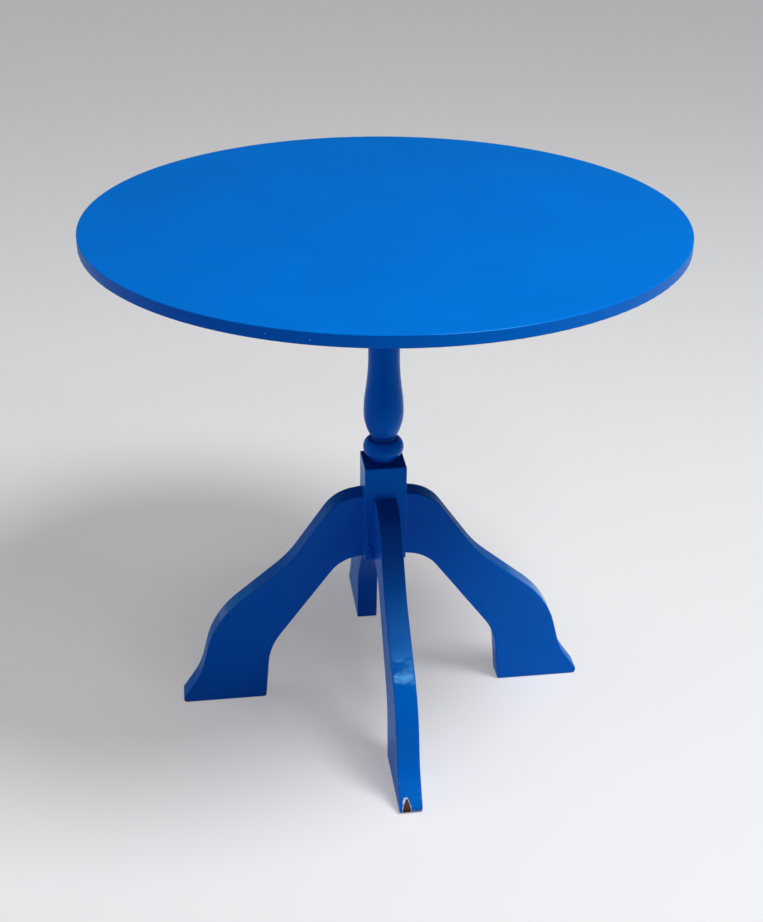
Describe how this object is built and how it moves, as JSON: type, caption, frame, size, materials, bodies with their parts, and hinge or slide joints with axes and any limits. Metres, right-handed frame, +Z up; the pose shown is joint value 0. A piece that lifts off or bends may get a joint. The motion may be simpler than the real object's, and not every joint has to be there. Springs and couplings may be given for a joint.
{
  "type": "round table",
  "caption": "Round pedestal table: flat round top on a turned column with a bead and a square block, standing on sawn board legs, painted all over.",
  "frame": {"origin": "on the floor, under the middle of the column", "axes": "+Z is up; the legs point along +X, +Y, -X and -Y; the front leg, nearest the viewer, points along -Y"},
  "size_m": [0.7999, 0.8, 0.75],
  "materials": {
    "blue_paint": "wood under a brushed coat of semi-gloss blue paint",
    "bare_beech": "bare planed hardwood",
    "zinc_screw": "zinc plated"
  },
  "bodies": {
    "root": {"tabletop": "blue_paint", "bearer_long": "blue_paint", "bearer_cross": "blue_paint", "bearer_screws": "zinc_screw", "tenon_wedge": "bare_beech", "column": "blue_paint", "leg_front": "blue_paint", "leg_right": "blue_paint", "leg_back": "blue_paint", "leg_left": "blue_paint", "dowels_front": "bare_beech", "dowels_right": "bare_beech", "dowels_back": "bare_beech", "dowels_left": "bare_beech"}
  },
  "joints": []
}
